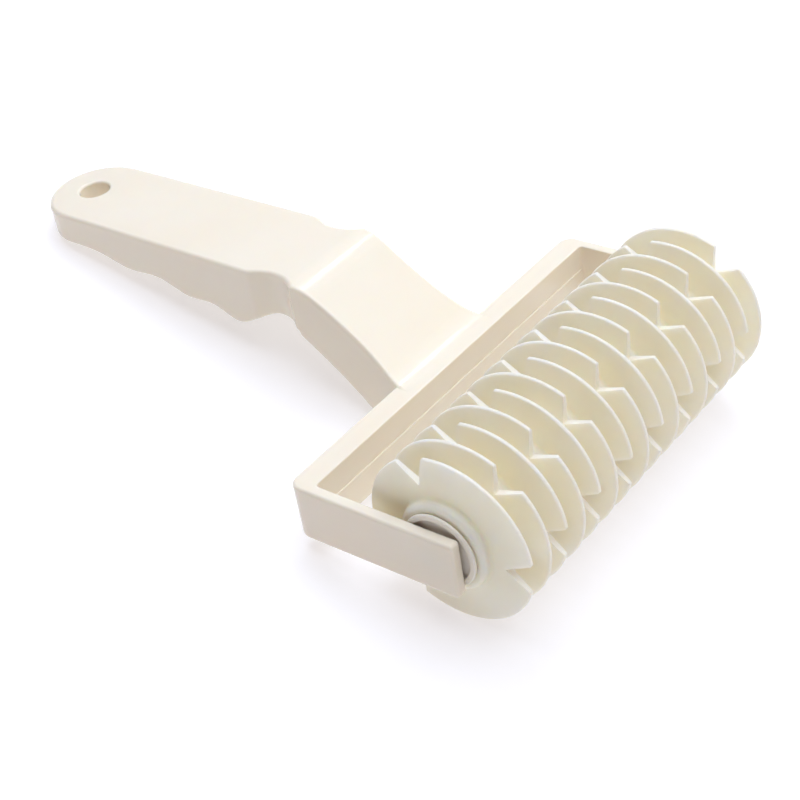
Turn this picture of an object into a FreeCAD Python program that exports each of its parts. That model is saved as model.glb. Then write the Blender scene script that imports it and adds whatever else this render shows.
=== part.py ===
import FreeCAD, Part
import math
import os

# A hand tool for cutting a lattice pattern into rolled pastry: one moulded frame (handle, bent neck and
# fork) and a roller of notched discs that turns between the fork's two arms.
#
# The tool is drawn in its own upright frame, in millimetres: X along the roller, +Y towards the handle's
# end, Z up, with the fork's top face at z = 0 and its crossbar just in front of y = 0. At the end every
# piece is tilted and moved together, so that the tool lies on its discs and on the end of its handle, as
# on a table.

os.makedirs("parts", exist_ok=True)

V = FreeCAD.Vector
UP = V(0, 0, 1)
ALONG_ROLLER = V(1, 0, 0)

# ---- Driving dimensions ----

# Fork
FORK_WIDTH = 125.8
ARM_TIP = -49.4
FORK_HEIGHT = 16.0
ARM_THICKNESS = 3.1
BAR_REAR = 0.4
BAR_FRONT = -6.5
FORK_CORNER_RADIUS = 4.0
FORK_EDGE_RADIUS = 0.9
INNER_CORNER_RADIUS = 1.2
INNER_EDGE_RADIUS = 0.35
LEDGE_TOP = -7.4
LEDGE_STEP = 0.45

# Roller
DISC_COUNT = 16
DISC_PITCH = 7.3
DISC_RADIUS = 23.2
RIM_THICKNESS = 1.1
RIM_ROUNDING_DEPTH = 0.44
ROOT_THICKNESS = 2.2
HUB_RADIUS = 12.4
HUB_FILLET = 1.0
HUB_EDGE_RADIUS = 1.4
NOTCH_COUNT = 3
NOTCH_CORNER_RADIUS = 0.7
NOTCH_ROOT_ROUNDING = 0.35
NOTCH_ROOT_RADIUS = 15.9
NOTCH_HALF_ANGLE = 10.9
FIRST_NOTCH_ANGLE = 67.0
STAGGER_ANGLE = 60.0
DISC_GAP = 0.04

# Axle and its two end caps
AXIS_Y = -42.7
AXIS_Z = -6.3
AXLE_ACROSS_FLATS = 9.0
AXLE_BORE_RADIUS = 2.5
HEX_CLEARANCE = 0.05
CAP_RADIUS = 10.3
CAP_RING_THICKNESS = 0.95
CAP_RING_WIDTH = 1.6
CAP_NECK_RADIUS = 9.4
CAP_NECK_LENGTH = 0.25
CAP_DISH_DEPTH = 0.8
CAP_BOSS_RADIUS = 4.6
CAP_EDGE_RADIUS = 0.4
SPIGOT_LENGTH = 9.0
SPIGOT_CLEARANCE = 0.03
PIN_RADIUS = 3.0
PIN_LENGTH = 2.3
SOCKET_CLEARANCE = 0.05
SOCKET_DEPTH = 2.2

# Handle and neck
HANDLE_TOP = 20.6
HANDLE_END = 138.4
HANDLE_END_UNDERSIDE = 11.0
HANDLE_HALF_WIDTH = 15.8
HANDLE_END_RADIUS = 15.3
NECK_TOP_BEND = 31.0
NECK_BEND_RADIUS = 16.0
NECK_FOOT_RADIUS = 15.0
NECK_END = 34.3
NECK_UNDERSIDE = 4.9
NECK_UNDERSIDE_END = 33.6
NECK_UNDERSIDE_FOOT = 9.0
WAIST_HALF_WIDTH = 13.3
WAIST_MIDDLE = 42.7
WAIST_END = 49.8
WAIST_BLEND_RADIUS = 4.0
HANDLE_EDGE_RADIUS = 1.2
HANDLE_FOOT_RADIUS = 0.8
WALL = 2.4
TOP_SHEET = 2.6
RIB_THICKNESS = 1.6
RIB_RECESS = 1.4
CROSS_RIBS = (55.0, 71.5, 88.0, 104.5)

# Half width of the neck from above, as (half width, y) from the crossbar to the neck's end
NECK_SIDE = (
    (20.4, -5.4),
    (18.6, 1.0),
    (17.2, 6.0),
    (16.1, 13.0),
    (15.8, 21.0),
    (16.5, NECK_END),
)

# Underside of the handle: (y, z) of the crests between the fingers and of the grooves for them. The last
# groove ends in a quarter circle down to the neck's underside.
WAIST_GROOVE_TOP = 7.2
FINGER_WAVE = (
    (120.0, 11.0),
    (110.5, 10.3),
    (98.5, 7.8),
    (87.5, 8.2),
    (75.5, 4.9),
    (66.5, 5.0),
    (57.0, 2.0),
    (50.3, 4.7),
    (45.0, 6.7),
    (NECK_UNDERSIDE_END + WAIST_GROOVE_TOP - NECK_UNDERSIDE, WAIST_GROOVE_TOP),
)

# Hanging hole
HOLE_Y = 125.6
HOLE_RADIUS = 4.6
HOLE_RIM_RADIUS = 0.8
HOLE_BOSS_WALL = 2.2

# ---- Worked out from them ----

HALF_WIDTH = FORK_WIDTH / 2
INNER_HALF_WIDTH = HALF_WIDTH - ARM_THICKNESS
STACK_HALF_LENGTH = DISC_COUNT * DISC_PITCH / 2
CAP_RING_START = STACK_HALF_LENGTH + CAP_NECK_LENGTH
CAP_FACE = CAP_RING_START + CAP_RING_THICKNESS
NECK_SLOPE = math.atan2(HANDLE_TOP, NECK_TOP_BEND)

# Arc middles lie this share of the radius in from the corner that the arc rounds
ARC_INSET = 1 - math.sqrt(0.5)

# Cutting and trimming blocks reach this far past the part, and points this close count as the same
FAR = 60.0
PAST = 1.0
SAME = 0.01


# ---- Helpers ----

def face_from(edges):
    """A flat face bounded by edges that already follow each other."""
    return Part.Face(Part.Wire(edges))


def polyline_edges(points):
    """Straight edges from each point to the next, without closing."""
    return [Part.makeLine(a, b) for a, b in zip(points[:-1], points[1:])]


def mirrored_x(point):
    return V(-point.x, point.y, point.z)


def arc(a, middle, b):
    """The circular edge from a through middle to b."""
    return Part.Arc(a, middle, b).toShape()


def hexagon_bar(across_flats, length):
    """A hexagonal bar along X, centred on the origin."""
    corner = across_flats / math.sqrt(3)
    corners = []
    for k in range(6):
        angle = math.radians(60 * k)
        corners.append(V(-length / 2, corner * math.cos(angle), corner * math.sin(angle)))
    corners.append(corners[0])
    return Part.Face(Part.makePolygon(corners)).extrude(V(length, 0, 0))


def rod(radius, start, end):
    """A round rod on the X axis, from x = start to x = end."""
    return Part.makeCylinder(radius, end - start, V(start, 0, 0), ALONG_ROLLER)


def sampled(edge, count=7):
    """Points spread evenly along an edge, from one end to the other."""
    first, last = edge.ParameterRange
    return [edge.valueAt(first + (last - first) * k / (count - 1)) for k in range(count)]


def edges_where(shape, test):
    """The edges whose every sampled point passes the test."""
    return [edge for edge in shape.Edges if all(test(p) for p in sampled(edge))]


# ---- Roller pieces, drawn about the X axis ----

def disc_blank():
    """One disc before its notches: a thin blade on a hub as long as the pitch between discs."""
    rim = RIM_THICKNESS / 2
    root = ROOT_THICKNESS / 2
    hub = (DISC_PITCH - DISC_GAP) / 2
    root_radius = HUB_RADIUS + HUB_FILLET
    rim_tip = V(0, DISC_RADIUS, 0)
    rim_middle = V(rim - RIM_ROUNDING_DEPTH * ARC_INSET, DISC_RADIUS - RIM_ROUNDING_DEPTH * ARC_INSET, 0)
    rim_side = V(rim, DISC_RADIUS - RIM_ROUNDING_DEPTH, 0)
    root_point = V(root, root_radius, 0)
    fillet_middle = V(root + HUB_FILLET * ARC_INSET, HUB_RADIUS + HUB_FILLET * ARC_INSET, 0)
    hub_start = V(root + HUB_FILLET, HUB_RADIUS, 0)
    hub_edge = V(hub - HUB_EDGE_RADIUS, HUB_RADIUS, 0)
    edge_middle = V(hub - HUB_EDGE_RADIUS * ARC_INSET, HUB_RADIUS - HUB_EDGE_RADIUS * ARC_INSET, 0)
    hub_face = V(hub, HUB_RADIUS - HUB_EDGE_RADIUS, 0)
    half = [arc(rim_tip, rim_middle, rim_side), Part.makeLine(rim_side, root_point)]
    half += [arc(root_point, fillet_middle, hub_start), Part.makeLine(hub_start, hub_edge)]
    half.append(arc(hub_edge, edge_middle, hub_face))
    half += polyline_edges([hub_face, V(hub, 0, 0), V(0, 0, 0), rim_tip])
    one_side = face_from(half).revolve(V(0, 0, 0), ALONG_ROLLER, 360)
    other_side = one_side.mirror(V(0, 0, 0), ALONG_ROLLER)
    return one_side.fuse(other_side).removeSplitter()


def notch_cutter(angle):
    """A V-shaped wedge across the blade, with its root at NOTCH_ROOT_RADIUS; angle is from +Y to +Z."""
    half_width = DISC_RADIUS * math.sin(math.radians(NOTCH_HALF_ANGLE))
    depth = DISC_RADIUS * math.cos(math.radians(NOTCH_HALF_ANGLE)) - NOTCH_ROOT_RADIUS
    start = -DISC_PITCH
    corners = [V(start, NOTCH_ROOT_RADIUS, 0)]
    for side in (1, -1):
        corners.append(V(start, NOTCH_ROOT_RADIUS + 2 * depth, 2 * half_width * side))
    corners.append(corners[0])
    wedge = Part.Face(Part.makePolygon(corners)).extrude(V(2 * DISC_PITCH, 0, 0))
    wedge.rotate(V(0, 0, 0), ALONG_ROLLER, angle)
    return wedge


def notched_outline(first_angle):
    """The disc's outline seen along the axle, as a thick slab with rounded notch corners."""
    slab = rod(DISC_RADIUS, -DISC_PITCH, DISC_PITCH)
    for k in range(NOTCH_COUNT):
        slab = slab.cut(notch_cutter(first_angle + 360 / NOTCH_COUNT * k))

    def runs_along_axle(edge):
        a, b = edge.Vertexes[0].Point, edge.Vertexes[-1].Point
        return abs(a.x - b.x) > DISC_PITCH and math.hypot(a.y - b.y, a.z - b.z) < SAME

    def is_notch_root(edge):
        middle = edge.CenterOfMass
        return abs(math.hypot(middle.y, middle.z) - NOTCH_ROOT_RADIUS) < SAME

    across = [edge for edge in slab.Edges if runs_along_axle(edge)]
    slab = slab.makeFillet(NOTCH_ROOT_ROUNDING, [edge for edge in across if is_notch_root(edge)])
    across = [edge for edge in slab.Edges if runs_along_axle(edge)]
    return slab.makeFillet(NOTCH_CORNER_RADIUS, [edge for edge in across if is_notch_tip(edge, first_angle)])


def is_notch_tip(edge, first_angle):
    """True for the outline's edges where a notch opens into the rim."""
    middle = edge.CenterOfMass
    if abs(math.hypot(middle.y, middle.z) - DISC_RADIUS) > SAME:
        return False
    angle = math.degrees(math.atan2(middle.z, middle.y)) - first_angle
    spacing = 360 / NOTCH_COUNT
    from_notch = abs((angle + spacing / 2) % spacing - spacing / 2)
    return abs(from_notch - NOTCH_HALF_ANGLE) < NOTCH_HALF_ANGLE / 2


def cutting_disc(first_angle):
    """A finished disc: blade and hub, three notches and the hexagonal hole for the axle."""
    disc = disc_blank().common(notched_outline(first_angle))
    hole = hexagon_bar(AXLE_ACROSS_FLATS + 2 * HEX_CLEARANCE, 2 * DISC_PITCH)
    return disc.cut(hole)


def roller_axle():
    """The hexagonal tube that carries and turns all the discs."""
    bar = hexagon_bar(AXLE_ACROSS_FLATS, 2 * STACK_HALF_LENGTH)
    return bar.cut(rod(AXLE_BORE_RADIUS, -STACK_HALF_LENGTH, STACK_HALF_LENGTH))


def end_cap():
    """The cap at the roller's +X end: spigot in the axle, dished face with a raised ring, and the pin."""
    spigot = rod(AXLE_BORE_RADIUS - SPIGOT_CLEARANCE, STACK_HALF_LENGTH - SPIGOT_LENGTH, STACK_HALF_LENGTH)
    neck = rod(CAP_NECK_RADIUS, STACK_HALF_LENGTH, CAP_RING_START)
    ring = rod(CAP_RADIUS, CAP_RING_START, CAP_FACE)
    ring = ring.cut(rod(CAP_RADIUS - CAP_RING_WIDTH, CAP_FACE - CAP_DISH_DEPTH, CAP_FACE + PAST))
    rims = [edge for edge in ring.Edges if is_ring_rim(edge)]
    ring = ring.makeFillet(CAP_EDGE_RADIUS, rims)
    boss = rod(CAP_BOSS_RADIUS, STACK_HALF_LENGTH, CAP_FACE)
    pin = rod(PIN_RADIUS, CAP_FACE, CAP_FACE + PIN_LENGTH)
    return spigot.fuse([neck, ring, boss, pin]).removeSplitter()


def is_ring_rim(edge):
    """True for the end cap's round edges that are rounded: both outer ones and the inner one at the face."""
    points = sampled(edge)
    if abs(points[0].x - points[3].x) > SAME:
        return False
    outer = abs(math.hypot(points[0].y, points[0].z) - CAP_RADIUS) < SAME
    return outer or abs(points[0].x - CAP_FACE) < SAME


# ---- Frame ----

def bend(corner, before, after, radius):
    """The tangent arc that rounds a corner between the points before and after it."""
    back = (before - corner).normalize()
    on = (after - corner).normalize()
    half_angle = back.getAngle(on) / 2
    start = corner + back * (radius / math.tan(half_angle))
    end = corner + on * (radius / math.tan(half_angle))
    inward = (back + on).normalize()
    middle = corner + inward * (radius / math.sin(half_angle) - radius)
    return start, middle, end


def side_outline(sheet):
    """The side view of handle and neck as a face at x = 0, with the top lowered by sheet."""
    top = HANDLE_TOP - sheet
    drop = sheet / math.cos(NECK_SLOPE)
    past_end = HANDLE_END + PAST
    foot_y = NECK_SIDE[0][1]
    foot = V(0, foot_y, -sheet)
    slope_foot = V(0, (drop - sheet) / math.tan(NECK_SLOPE), -sheet)
    slope_top = V(0, NECK_TOP_BEND + (drop - sheet) / math.tan(NECK_SLOPE), top)
    end_top = V(0, past_end, top)
    low_bend = bend(slope_foot, foot, slope_top, NECK_FOOT_RADIUS + sheet)
    high_bend = bend(slope_top, slope_foot, end_top, NECK_BEND_RADIUS - sheet)
    wave = [V(0, y, z) for y, z in FINGER_WAVE]
    spline = Part.BSplineCurve()
    spline.interpolate(Points=wave, InitialTangent=V(0, -1, 0), FinalTangent=V(0, -1, 0))
    inset = (WAIST_GROOVE_TOP - NECK_UNDERSIDE) * ARC_INSET
    groove_middle = V(0, NECK_UNDERSIDE_END + inset, WAIST_GROOVE_TOP - inset)
    neck_low = V(0, NECK_UNDERSIDE_END, NECK_UNDERSIDE)
    neck_foot = V(0, NECK_UNDERSIDE_FOOT, -FORK_HEIGHT)
    edges = [arc(*low_bend), Part.makeLine(low_bend[-1], high_bend[0]), arc(*high_bend)]
    edges += polyline_edges([high_bend[-1], end_top, V(0, past_end, HANDLE_END_UNDERSIDE), wave[0]])
    edges += [spline.toShape(), arc(wave[-1], groove_middle, neck_low)]
    edges += polyline_edges([neck_low, neck_foot, V(0, foot_y, -FORK_HEIGHT), foot, low_bend[0]])
    return face_from(edges)


def plan_outline(inset):
    """The outline of handle and neck seen from above, at z = -FAR, drawn in by inset all round."""
    z = -FAR
    side = [V(half_width - inset, y, z) for half_width, y in NECK_SIDE]
    waist = V(WAIST_HALF_WIDTH - inset, WAIST_MIDDLE, z)
    grip_start = V(HANDLE_HALF_WIDTH - inset, WAIST_END, z)
    grip_end = V(HANDLE_END_RADIUS - inset, HANDLE_END - HANDLE_END_RADIUS, z)
    tip = V(0, HANDLE_END - inset, z)
    right = Part.BSplineCurve()
    right.interpolate(side)
    left = Part.BSplineCurve()
    left.interpolate([mirrored_x(p) for p in reversed(side)])
    edges = [right.toShape(), arc(side[-1], waist, grip_start), Part.makeLine(grip_start, grip_end)]
    edges.append(arc(grip_end, tip, mirrored_x(grip_end)))
    edges.append(Part.makeLine(mirrored_x(grip_end), mirrored_x(grip_start)))
    edges.append(arc(mirrored_x(grip_start), mirrored_x(waist), mirrored_x(side[-1])))
    edges += [left.toShape(), Part.makeLine(mirrored_x(side[0]), side[0])]
    return face_from(edges)


def side_prism(sheet):
    """The side view of handle and neck as a block across the whole tool."""
    block = side_outline(sheet).extrude(V(2 * HALF_WIDTH, 0, 0))
    block.translate(V(-HALF_WIDTH, 0, 0))
    return block


def plan_prism(inset):
    """The top view of handle and neck as a tall block."""
    return plan_outline(inset).extrude(V(0, 0, 2 * FAR))


def crosses_middle(points):
    """True for an edge that runs from one side of the tool to the other, except round the handle's end."""
    return points[0].x * points[-1].x < 0 and points[3].y < HANDLE_END - HANDLE_EDGE_RADIUS - PAST


def is_upright(points):
    return math.hypot(points[0].x - points[-1].x, points[0].y - points[-1].y) < SAME


def is_top_rim(edge):
    """True for the edges between the top face and the side walls of handle and neck."""
    points = sampled(edge)
    near_top = all(p.z > min(p.y * math.tan(NECK_SLOPE), HANDLE_TOP) - PAST for p in points)
    return near_top and not crosses_middle(points) and not is_upright(points)


def is_low_rim(edge):
    """True for the edges between the underside and the side walls, behind the fork."""
    points = sampled(edge)
    behind_fork = all(p.y > NECK_UNDERSIDE_FOOT - SAME for p in points)
    outline = not crosses_middle(points) and not is_upright(points)
    return behind_fork and outline and not is_top_rim(edge)


def is_waist_corner(edge):
    """True for the upright edges where the waist meets the handle's straight sides."""
    points = sampled(edge)
    return is_upright(points) and abs(points[0].y - WAIST_END) < SAME


def handle_body():
    """Handle and neck as a solid, with rounded edges."""
    body = plan_prism(0).common(side_prism(0))
    rounding = (
        (is_waist_corner, WAIST_BLEND_RADIUS),
        (is_low_rim, HANDLE_FOOT_RADIUS),
        (is_top_rim, HANDLE_EDGE_RADIUS),
    )
    for belongs, radius in rounding:
        body = body.makeFillet(radius, [edge for edge in body.Edges if belongs(edge)])
    return body


def rib_walls():
    """Stiffening walls under the handle: one along it and short ones across, inside its lower edge."""
    room = side_prism(-RIB_RECESS)
    room.translate(V(0, 0, RIB_RECESS))
    walls = [Part.makeBox(RIB_THICKNESS, HOLE_Y, 2 * FAR, V(-RIB_THICKNESS / 2, 0, -FAR))]
    for y in CROSS_RIBS:
        corner = V(-HALF_WIDTH, y - RIB_THICKNESS / 2, -FAR)
        walls.append(Part.makeBox(2 * HALF_WIDTH, RIB_THICKNESS, 2 * FAR, corner))
    return [wall.common(room) for wall in walls]


def handle_hollow():
    """The room under the top sheet of handle and neck, open below and divided by the ribs."""
    side = side_prism(TOP_SHEET)
    below = side.copy()
    below.translate(V(0, 0, -4 * TOP_SHEET))
    keep = Part.makeBox(2 * HALF_WIDTH, HANDLE_END, 2 * FAR, V(-HALF_WIDTH, WALL, -FAR))
    hollow = side.fuse(below).common(plan_prism(WALL)).common(keep)
    boss_height = HANDLE_TOP - HANDLE_END_UNDERSIDE
    boss_base = V(0, HOLE_Y, HANDLE_END_UNDERSIDE)
    boss = Part.makeCylinder(HOLE_RADIUS + HOLE_BOSS_WALL, boss_height, boss_base, UP)
    return hollow.cut(rib_walls() + [boss])


def hanging_hole():
    """The hole through the handle's end, wider at both rims so that they come out rounded."""
    low = HANDLE_END_UNDERSIDE
    inset = HOLE_RIM_RADIUS * ARC_INSET
    rim = [
        V(HOLE_RADIUS + HOLE_RIM_RADIUS, 0, low),
        V(HOLE_RADIUS + inset, 0, low + inset),
        V(HOLE_RADIUS, 0, low + HOLE_RIM_RADIUS),
    ]
    top_rim = [V(p.x, 0, low + HANDLE_TOP - p.z) for p in reversed(rim)]
    edges = [arc(*rim), Part.makeLine(rim[-1], top_rim[0]), arc(*top_rim)]
    edges += polyline_edges([top_rim[-1], V(0, 0, HANDLE_TOP), V(0, 0, low), rim[0]])
    hole = face_from(edges).revolve(V(0, 0, 0), UP, 360)
    hole.translate(V(0, HOLE_Y, 0))
    return hole


def fork():
    """The crossbar and its two arms, with the ledge inside the crossbar."""
    length = BAR_REAR - ARM_TIP
    block = Part.makeBox(FORK_WIDTH, length, FORK_HEIGHT, V(-HALF_WIDTH, ARM_TIP, -FORK_HEIGHT))
    block = block.makeFillet(FORK_CORNER_RADIUS, upright_edges(block, HALF_WIDTH, BAR_REAR))
    block = block.makeFillet(FORK_EDGE_RADIUS, upright_edges(block, HALF_WIDTH, ARM_TIP))
    rims = edges_where(block, is_fork_rim)
    block = block.makeFillet(FORK_EDGE_RADIUS, rims)
    gap_corner = V(-INNER_HALF_WIDTH, BAR_FRONT - FAR, -FAR)
    gap = Part.makeBox(2 * INNER_HALF_WIDTH, FAR, 2 * FAR, gap_corner)
    gap = gap.makeFillet(INNER_CORNER_RADIUS, upright_edges(gap, INNER_HALF_WIDTH, BAR_FRONT))
    fork = block.cut(gap)
    inner_edges = edges_where(fork, lambda p: is_fork_rim(p) and is_at_gap(p))
    inner_edges += upright_edges(fork, INNER_HALF_WIDTH, ARM_TIP)
    fork = fork.makeFillet(INNER_EDGE_RADIUS, inner_edges)
    ledge_corner = V(-INNER_HALF_WIDTH - PAST, BAR_FRONT - LEDGE_STEP, -FORK_HEIGHT + INNER_EDGE_RADIUS)
    ledge_height = FORK_HEIGHT + LEDGE_TOP - INNER_EDGE_RADIUS
    ledge = Part.makeBox(2 * (INNER_HALF_WIDTH + PAST), LEDGE_STEP + PAST, ledge_height, ledge_corner)
    return fork.fuse(ledge)


def upright_edges(shape, half_width, y):
    """The two upright edges of a shape at x = +half_width and -half_width, at the given y."""
    return edges_where(shape, lambda p: abs(p.y - y) < SAME and abs(abs(p.x) - half_width) < SAME)


def is_fork_rim(p):
    """True for a point on the fork's top or bottom face."""
    return abs(p.z) < SAME or abs(p.z + FORK_HEIGHT) < SAME


def is_at_gap(p):
    """True for a point on the upright walls round the gap that the roller turns in."""
    beside_arm = abs(p.x) < INNER_HALF_WIDTH + SAME
    return beside_arm and p.y < BAR_FRONT + SAME and p.y > ARM_TIP + SAME


def frame():
    """The whole one-piece moulding."""
    body = fork().fuse(handle_body()).cut(handle_hollow()).cut(hanging_hole())
    radius = PIN_RADIUS + SOCKET_CLEARANCE
    for side in (-1, 1):
        start = V(side * (INNER_HALF_WIDTH - PAST), AXIS_Y, AXIS_Z)
        body = body.cut(Part.makeCylinder(radius, SOCKET_DEPTH + PAST, start, V(side, 0, 0)))
    return body.removeSplitter()


# ---- Assembly ----

def resting_tilt():
    """How far the tool leans back when its discs and the rounded end of its handle touch a table."""
    corner_y = HANDLE_END - HANDLE_FOOT_RADIUS - AXIS_Y
    corner_z = HANDLE_END_UNDERSIDE + HANDLE_FOOT_RADIUS - AXIS_Z
    distance = math.hypot(corner_y, corner_z)
    return math.atan2(corner_z, corner_y) + math.asin((DISC_RADIUS - HANDLE_FOOT_RADIUS) / distance)


def upright_pieces():
    """Every node by name, in the tool's upright frame."""
    pieces = {"frame": frame(), "roller_axle": roller_axle()}
    far_cap = end_cap()
    pieces["far_end_cap"] = far_cap
    pieces["near_end_cap"] = far_cap.mirror(V(0, 0, 0), ALONG_ROLLER)
    for k in range(DISC_COUNT):
        disc = cutting_disc(FIRST_NOTCH_ANGLE + STAGGER_ANGLE * (k % 2))
        disc.translate(V(DISC_PITCH * (k - (DISC_COUNT - 1) / 2), 0, 0))
        pieces["cutting_disc_%02d" % (k + 1)] = disc
    for name, shape in pieces.items():
        if name != "frame":
            shape.translate(V(0, AXIS_Y, AXIS_Z))
    return pieces


def resting_placement(shapes):
    """The move from the upright frame to the table: leant back, the box's bottom centre at the origin."""
    lean = FreeCAD.Placement(V(0, 0, 0), FreeCAD.Rotation(ALONG_ROLLER, -math.degrees(resting_tilt())))
    leaning = Part.makeCompound(shapes)
    leaning.Placement = lean
    box = leaning.optimalBoundingBox()
    shift = V(-(box.XMin + box.XMax) / 2, -(box.YMin + box.YMax) / 2, -box.ZMin)
    return FreeCAD.Placement(shift, lean.Rotation)


def in_metres(point):
    return [round(c / 1000, 6) for c in point]


pieces = upright_pieces()
placement = resting_placement(list(pieces.values()))
for name, shape in pieces.items():
    shape.Placement = placement.multiply(shape.Placement)
    print(name, "valid", shape.isValid(), "solids", len(shape.Solids), "volume", round(shape.Volume, 1))
    shape.exportStep("parts/" + name + ".step")
print("lean in degrees", round(math.degrees(resting_tilt()), 4))
hole_top = V(0, HOLE_Y, HANDLE_TOP - HOLE_RIM_RADIUS)
print("roller axis at", in_metres(placement.multVec(V(0, AXIS_Y, AXIS_Z))))
print("hanging hole, top of its wall", in_metres(placement.multVec(hole_top)))
print("hanging hole, axis", [round(c, 6) for c in placement.Rotation.multVec(UP)])
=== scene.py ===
import bpy
import math
from mathutils import Matrix, Vector

# A pastry lattice roller cutter on a pale table: one glossy warm-white moulding (handle, neck and fork) and
# a roller of milky, slightly translucent notched discs. Everything is in metres, in the frame's own axes.

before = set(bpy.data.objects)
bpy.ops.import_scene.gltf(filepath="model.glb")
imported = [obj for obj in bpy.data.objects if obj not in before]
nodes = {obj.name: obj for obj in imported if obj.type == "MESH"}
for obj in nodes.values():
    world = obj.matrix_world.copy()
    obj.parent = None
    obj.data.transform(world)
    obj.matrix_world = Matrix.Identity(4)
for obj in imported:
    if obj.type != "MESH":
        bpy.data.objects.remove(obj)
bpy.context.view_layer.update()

# ---- Named values: camera ----

AIM = Vector((-0.0133, -0.0342, 0.0099))    # the point at the middle of the picture
CAMERA_AZIMUTH = -55.17                     # degrees; 0 looks along +Y
CAMERA_ELEVATION = 43.92                    # degrees above the table
CAMERA_ROLL = 2.89                          # degrees; the camera's right side is raised
CAMERA_DISTANCE = 0.443                     # from the aim point
CAMERA_LENS = 75.1                          # mm
SENSOR_WIDTH = 36.0                         # mm

# ---- Named values: materials ----

# Each material drifts between its colour and its shade, which is a little deeper
FRAME_COLOUR = (0.935, 0.855, 0.710, 1.0)
FRAME_SHADE = (0.920, 0.832, 0.675, 1.0)
DISC_COLOUR = (0.985, 0.910, 0.765, 1.0)
DISC_SHADE = (0.970, 0.880, 0.705, 1.0)
CAP_COLOUR = (0.930, 0.870, 0.750, 1.0)
CAP_SHADE = (0.910, 0.845, 0.710, 1.0)
FLOOR_COLOUR = (0.50, 0.50, 0.51, 1.0)
FLOOR_SHADE = (0.49, 0.49, 0.50, 1.0)

# How far light travels inside the plastics, in metres, and the share of that for red, green and blue
FRAME_SCATTER = 0.003
FRAME_SCATTER_TINT = (1.0, 0.72, 0.42)
DISC_SCATTER = 0.0045
DISC_SCATTER_TINT = (1.0, 0.82, 0.60)

# Most of a noise's values lie in the spread; the shifted one leaves more of a surface at its smoothest
NOISE_SPREAD = (0.30, 0.70)
SHIFTED_SPREAD = (0.35, 0.75)

# ---- Named values: floor, world and lights ----

FLOOR_HALF = 6.0
FLOOR_ROUGHNESS = 0.9
FLOOR_GLOW_COLOUR = (1.0, 0.98, 1.0, 1.0)
FLOOR_GLOW = 0.56           # part of the floor's light is its own, which keeps the shadow on it faint

WORLD_COLOUR = (1.0, 0.68, 0.68, 1.0)
WORLD_STRENGTH = 0.11

# Softboxes: place, width and height, power in watts, and colour
LIGHTS = {
    "overhead": ((0.10, 0.00, 1.15), (1.3, 1.1), 12.7, (0.96, 1.04, 1.16)),
    "rear": ((0.55, 0.45, 0.95), (0.9, 0.9), 4.4, (0.90, 1.00, 1.22)),
    "right_fill": ((0.90, -0.45, 0.50), (0.6, 0.6), 2.2, (1.05, 1.07, 1.00)),
    "front_fill": ((-0.30, -1.00, 0.35), (0.5, 0.4), 0.2, (0.95, 0.95, 1.10)),
    "glint": ((0.60, 0.34, 0.74), (0.06, 0.05), 0.35, (1.0, 1.0, 1.0)),
}
UNREFLECTED = ("rear",)     # lights that brighten the tool without a mirror image in its gloss


# ---- Node helpers ----

def new_material(name):
    """An empty material and its node tree, with the output and one Principled shader joined."""
    material = bpy.data.materials.new(name)
    material.use_nodes = True
    tree = material.node_tree
    tree.nodes.clear()
    output = tree.nodes.new("ShaderNodeOutputMaterial")
    shader = tree.nodes.new("ShaderNodeBsdfPrincipled")
    tree.links.new(shader.outputs["BSDF"], output.inputs["Surface"])
    return material, tree, shader


def noise(tree, scale, detail, roughness=0.5):
    """A noise value over the object's own coordinates, so that it moves with the piece."""
    coordinates = tree.nodes.new("ShaderNodeTexCoord")
    node = tree.nodes.new("ShaderNodeTexNoise")
    node.inputs["Scale"].default_value = scale
    node.inputs["Detail"].default_value = detail
    node.inputs["Roughness"].default_value = roughness
    tree.links.new(coordinates.outputs["Object"], node.inputs["Vector"])
    return node.outputs["Fac"]


def mapped(tree, value, spread, lowest, highest):
    """The value with its spread stretched to lowest..highest. Beyond the spread it stays at those ends."""
    node = tree.nodes.new("ShaderNodeMapRange")
    node.inputs["From Min"].default_value, node.inputs["From Max"].default_value = spread
    node.inputs["To Min"].default_value = lowest
    node.inputs["To Max"].default_value = highest
    tree.links.new(value, node.inputs["Value"])
    return node.outputs["Result"]


def set_colour(tree, shader, colour, shade, pattern):
    """Base colour that drifts from colour to shade as the noise pattern rises."""
    node = tree.nodes.new("ShaderNodeMix")
    node.data_type = "RGBA"
    node.inputs["A"].default_value = colour
    node.inputs["B"].default_value = shade
    tree.links.new(mapped(tree, pattern, NOISE_SPREAD, lowest=0.0, highest=1.0), node.inputs["Factor"])
    tree.links.new(node.outputs["Result"], shader.inputs["Base Color"])


def set_roughness(tree, shader, pattern, spread, lowest, highest):
    """Roughness that rises from lowest to highest with the noise pattern."""
    tree.links.new(mapped(tree, pattern, spread, lowest, highest), shader.inputs["Roughness"])


def bump(tree, height, strength, distance, over=None):
    """A normal raised by the height pattern, over another bump if one is given."""
    node = tree.nodes.new("ShaderNodeBump")
    node.inputs["Strength"].default_value = strength
    node.inputs["Distance"].default_value = distance
    tree.links.new(height, node.inputs["Height"])
    if over is not None:
        tree.links.new(over, node.inputs["Normal"])
    return node.outputs["Normal"]


def set_body(shader, ior, weight, tint, reach):
    """Gloss at the surface, and light that enters it and comes out again nearby."""
    shader.inputs["IOR"].default_value = ior
    shader.inputs["Subsurface Weight"].default_value = weight
    shader.inputs["Subsurface Radius"].default_value = tint
    shader.inputs["Subsurface Scale"].default_value = reach


# ---- Materials ----

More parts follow.
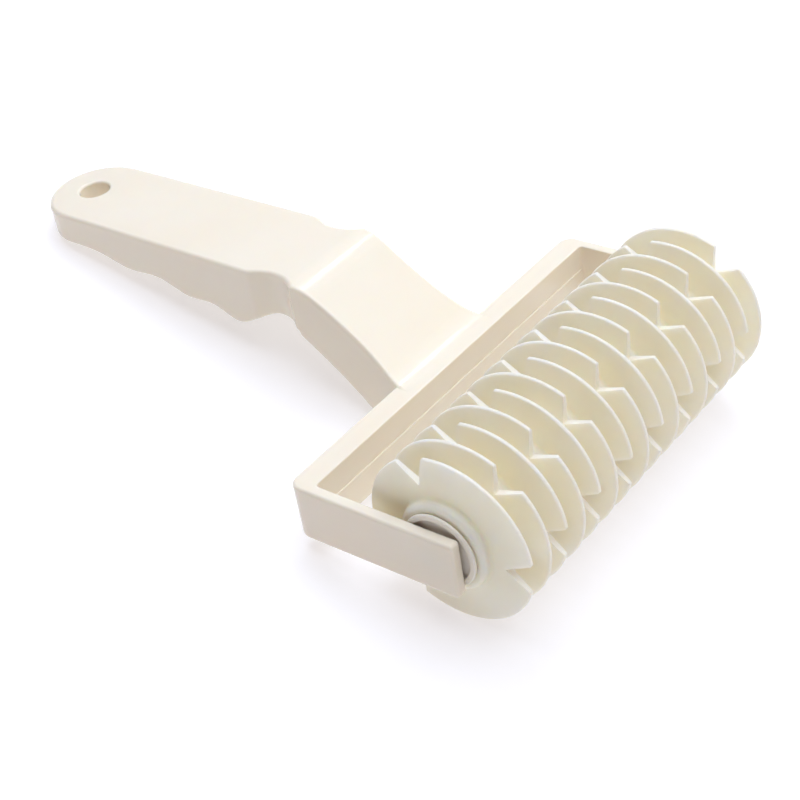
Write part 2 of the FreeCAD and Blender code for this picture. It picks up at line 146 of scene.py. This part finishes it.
def frame_plastic():
    """Glossy warm-white moulded plastic: faint cloudiness, soft waviness and fine handling marks."""
    material, tree, shader = new_material("frame_plastic")
    set_colour(tree, shader, FRAME_COLOUR, FRAME_SHADE, noise(tree, scale=38.0, detail=4.0))
    marks = noise(tree, scale=260.0, detail=4.0, roughness=0.55)
    set_roughness(tree, shader, marks, NOISE_SPREAD, lowest=0.15, highest=0.20)
    wave = bump(tree, noise(tree, scale=60.0, detail=1.0), strength=0.10, distance=0.0004)
    grain = bump(tree, noise(tree, scale=2600.0, detail=3.0), strength=0.04, distance=0.00002, over=wave)
    tree.links.new(grain, shader.inputs["Normal"])
    set_body(shader, ior=1.49, weight=0.25, tint=FRAME_SCATTER_TINT, reach=FRAME_SCATTER)
    return material


def disc_plastic():
    """Milky natural polyethylene: light passes some millimetres into it, and warms on the way."""
    material, tree, shader = new_material("disc_plastic")
    set_colour(tree, shader, DISC_COLOUR, DISC_SHADE, noise(tree, scale=70.0, detail=4.0))
    marks = noise(tree, scale=520.0, detail=5.0, roughness=0.6)
    set_roughness(tree, shader, marks, SHIFTED_SPREAD, lowest=0.36, highest=0.52)
    wave = bump(tree, noise(tree, scale=180.0, detail=2.0), strength=0.12, distance=0.0003)
    grain = bump(tree, noise(tree, scale=3000.0, detail=3.0), strength=0.10, distance=0.00004, over=wave)
    tree.links.new(grain, shader.inputs["Normal"])
    set_body(shader, ior=1.51, weight=0.85, tint=DISC_SCATTER_TINT, reach=DISC_SCATTER)
    return material


def cap_plastic():
    """The end caps and axle: whiter and less translucent than the discs, with a dull moulded surface."""
    material, tree, shader = new_material("cap_plastic")
    set_colour(tree, shader, CAP_COLOUR, CAP_SHADE, noise(tree, scale=90.0, detail=4.0))
    marks = noise(tree, scale=480.0, detail=4.0, roughness=0.6)
    set_roughness(tree, shader, marks, SHIFTED_SPREAD, lowest=0.38, highest=0.50)
    grain = bump(tree, noise(tree, scale=2800.0, detail=3.0), strength=0.08, distance=0.00003)
    tree.links.new(grain, shader.inputs["Normal"])
    set_body(shader, ior=1.50, weight=0.3, tint=FRAME_SCATTER_TINT, reach=FRAME_SCATTER)
    return material


def floor_paper():
    """Pale matt paper with a glow of its own, and hardly visible tone changes."""
    material, tree, shader = new_material("floor_paper")
    set_colour(tree, shader, FLOOR_COLOUR, FLOOR_SHADE, noise(tree, scale=6.0, detail=3.0))
    shader.inputs["Roughness"].default_value = FLOOR_ROUGHNESS
    shader.inputs["Emission Color"].default_value = FLOOR_GLOW_COLOUR
    shader.inputs["Emission Strength"].default_value = FLOOR_GLOW
    return material


def paint(names, material):
    """Gives some CAD nodes one material."""
    for name in names:
        mesh = nodes[name].data
        mesh.materials.clear()
        mesh.materials.append(material)


paint(["frame"], frame_plastic())
paint(["roller_axle", "near_end_cap", "far_end_cap"], cap_plastic())
paint([name for name in nodes if name.startswith("cutting_disc_")], disc_plastic())


# ---- Floor, lights and camera ----

def make_floor():
    """A large square sheet at the table's height."""
    half = FLOOR_HALF
    mesh = bpy.data.meshes.new("floor")
    corners = [(-half, -half, 0.0), (half, -half, 0.0), (half, half, 0.0), (-half, half, 0.0)]
    mesh.from_pydata(corners, [], [(0, 1, 2, 3)])
    mesh.materials.append(floor_paper())
    floor = bpy.data.objects.new("floor", mesh)
    bpy.context.scene.collection.objects.link(floor)


def make_world():
    """A dim, even glow from all round."""
    world = bpy.data.worlds.new("studio")
    world.use_nodes = True
    background = world.node_tree.nodes["Background"]
    background.inputs["Color"].default_value = WORLD_COLOUR
    background.inputs["Strength"].default_value = WORLD_STRENGTH
    bpy.context.scene.world = world


def make_light(name, place, size, watts, colour):
    """A rectangular softbox that faces the frame's origin, which lies under the tool."""
    data = bpy.data.lights.new(name, "AREA")
    data.shape = "RECTANGLE"
    data.size, data.size_y = size
    data.energy = watts
    data.color = colour
    light = bpy.data.objects.new(name, data)
    light.location = place
    light.rotation_euler = (-Vector(place)).to_track_quat("-Z", "Y").to_euler()
    light.visible_glossy = name not in UNREFLECTED
    bpy.context.scene.collection.objects.link(light)


def make_camera():
    """The camera faces the aim point from its azimuth and elevation, and rolls about its line of sight."""
    azimuth = math.radians(CAMERA_AZIMUTH)
    elevation = math.radians(CAMERA_ELEVATION)
    look = Vector((
        -math.sin(azimuth) * math.cos(elevation),
        math.cos(azimuth) * math.cos(elevation),
        -math.sin(elevation),
    ))
    data = bpy.data.cameras.new("camera")
    data.lens = CAMERA_LENS
    data.sensor_width = SENSOR_WIDTH
    camera = bpy.data.objects.new("camera", data)
    level = look.to_track_quat("-Z", "Y").to_matrix()
    turned = level @ Matrix.Rotation(math.radians(CAMERA_ROLL), 3, "Z")
    camera.matrix_world = Matrix.Translation(AIM - look * CAMERA_DISTANCE) @ turned.to_4x4()
    bpy.context.scene.collection.objects.link(camera)
    bpy.context.scene.camera = camera


make_floor()
make_world()
for light_name, (place, size, watts, colour) in LIGHTS.items():
    make_light(light_name, place, size, watts, colour)
make_camera()
bpy.context.scene.view_settings.view_transform = "Standard"
